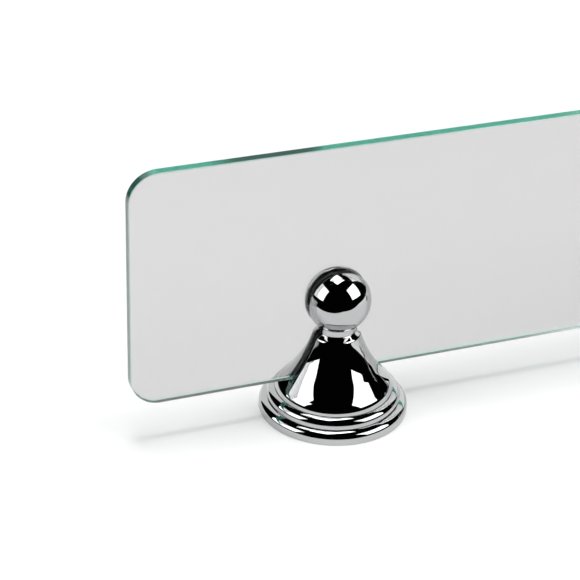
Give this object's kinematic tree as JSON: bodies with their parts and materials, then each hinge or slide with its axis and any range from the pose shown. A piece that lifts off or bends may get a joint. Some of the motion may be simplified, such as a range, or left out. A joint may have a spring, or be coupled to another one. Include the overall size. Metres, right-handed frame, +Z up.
{
  "type": "sneeze guard",
  "caption": "Low upright glass guard panel with rounded corners, held in two slotted chrome posts with ball tops, flared bells and stepped, rounded bases.",
  "frame": {"origin": "on the counter, midway between the two posts, in the middle plane of the glass", "axes": "+X along the panel from the left post to the right post, +Y from the front to the back, +Z up"},
  "size_m": [0.6, 0.0844, 0.1635],
  "materials": {
    "glass": "clear float glass, ground green edges",
    "chrome": "polished",
    "steel": "zinc plated",
    "screw": "black oxide",
    "rubber": "matte",
    "nylon": "satin"
  },
  "bodies": {
    "posts": {"left_post_body": "chrome", "right_post_body": "chrome", "left_base_rose": "chrome", "right_base_rose": "chrome", "left_mounting_plate": "steel", "right_mounting_plate": "steel", "left_post_bolt": "steel", "right_post_bolt": "steel", "left_bolt_washer": "steel", "right_bolt_washer": "steel", "left_lock_screw": "screw", "right_lock_screw": "screw", "left_front_liner": "rubber", "right_front_liner": "rubber", "left_rear_liner": "rubber", "right_rear_liner": "rubber", "left_setting_pad": "rubber", "right_setting_pad": "rubber"},
    "panel": {"glass_panel": "glass"},
    "left_pad": {"left_clamp_pad": "nylon"},
    "right_pad": {"right_clamp_pad": "nylon"},
    "left_screw": {"left_clamp_screw": "screw"},
    "right_screw": {"right_clamp_screw": "screw"}
  },
  "joints": [
    {"name": "panel_lift", "type": "slide", "parent": "posts", "child": "panel", "axis": [0, 0, 1], "range_m": [0, 0.07]},
    {"name": "left_pad_slide", "type": "slide", "parent": "posts", "child": "left_pad", "axis": [0, 1, 0], "range_m": [0, 0.0008]},
    {"name": "right_pad_slide", "type": "slide", "parent": "posts", "child": "right_pad", "axis": [0, 1, 0], "range_m": [0, 0.0008]},
    {"name": "left_clamp_turn", "type": "hinge", "parent": "left_pad", "child": "left_screw", "pos_m": [-0.18, 0.012, 0.033], "axis": [0, 1, 0], "range_deg": [0, 360]},
    {"name": "right_clamp_turn", "type": "hinge", "parent": "right_pad", "child": "right_screw", "pos_m": [0.18, 0.012, 0.033], "axis": [0, 1, 0], "range_deg": [0, 360]}
  ],
  "couplings": [
    {"joint": "left_clamp_turn", "follows": "left_pad_slide", "rad_per_m": 7854},
    {"joint": "right_clamp_turn", "follows": "right_pad_slide", "rad_per_m": 7854}
  ]
}
